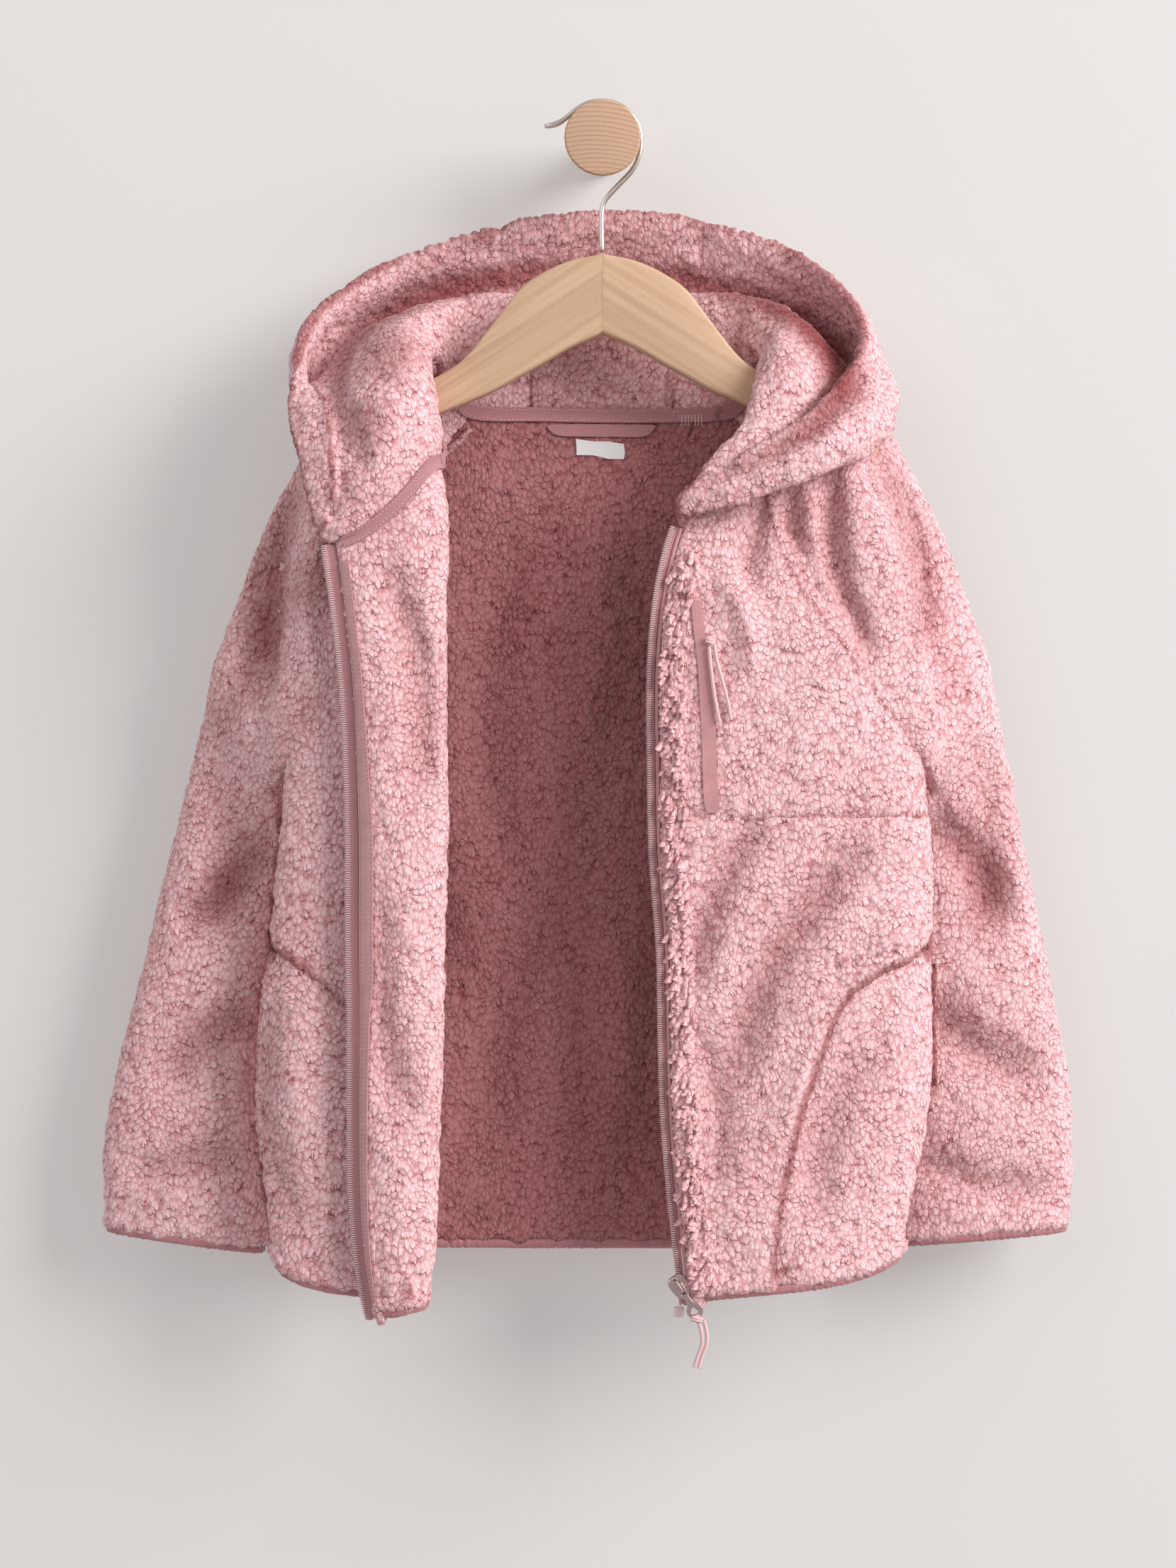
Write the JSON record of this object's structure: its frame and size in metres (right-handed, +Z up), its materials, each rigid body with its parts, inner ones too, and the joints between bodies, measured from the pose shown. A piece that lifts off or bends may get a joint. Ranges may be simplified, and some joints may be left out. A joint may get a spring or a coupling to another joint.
{
  "type": "hooded fleece jacket on a hanger and wall peg",
  "caption": "Child's hooded fleece jacket with raglan sleeves and a zip, one front folded back, hanging open on a wooden hanger with a wire hook from a round wall peg.",
  "frame": {"origin": "centre of the peg's flat back face, on the wall", "axes": "+Z up, +Y into the wall, the front faces -Y, +X is the wearer's left"},
  "size_m": [0.6707, 0.1472, 0.852],
  "materials": {
    "fleece": "matte, double-faced curly pile, pale pink with a darker rose inside",
    "binding": "satin stretch binding",
    "tape": "matte twill and knitted zip tape",
    "label": "satin woven label, blank",
    "cord": "matte round braid",
    "zip_plastic": "moulded, slightly glossy",
    "metal": "polished nickel",
    "wood": "satin beech"
  },
  "bodies": {
    "jacket": {"back": "fleece", "front_left_upper": "fleece", "front_left_lower": "fleece", "pocket_left": "fleece", "front_right": "fleece", "pocket_right": "fleece", "sleeve_left": "fleece", "sleeve_right": "fleece", "hood_right": "fleece", "hood_centre": "fleece", "hood_left": "fleece", "hem_binding": "binding", "cuff_left": "binding", "cuff_right": "binding", "zip_piping": "binding", "zip_facing": "binding", "chest_welt": "binding", "zip_tape_right": "tape", "zip_tape_left": "tape", "neck_tape": "tape", "hanging_loop": "tape", "label": "label", "chest_cord_knot": "cord", "chest_cord_inner": "cord", "chest_cord_outer": "cord", "zip_box": "zip_plastic", "zip_slider": "metal", "hook": "metal", "hanger": "wood", "wall_peg": "wood"},
    "pull_tab": {"zip_pull": "metal", "pull_knot": "cord", "pull_cord_inner": "cord", "pull_cord_outer": "cord"}
  },
  "joints": [
    {"name": "pull_tab_swing", "type": "hinge", "parent": "jacket", "child": "pull_tab", "pos_m": [0.0501, -0.1242, -0.7689], "axis": [-0.8387, 0, -0.5446], "range_deg": [0, 120]}
  ]
}
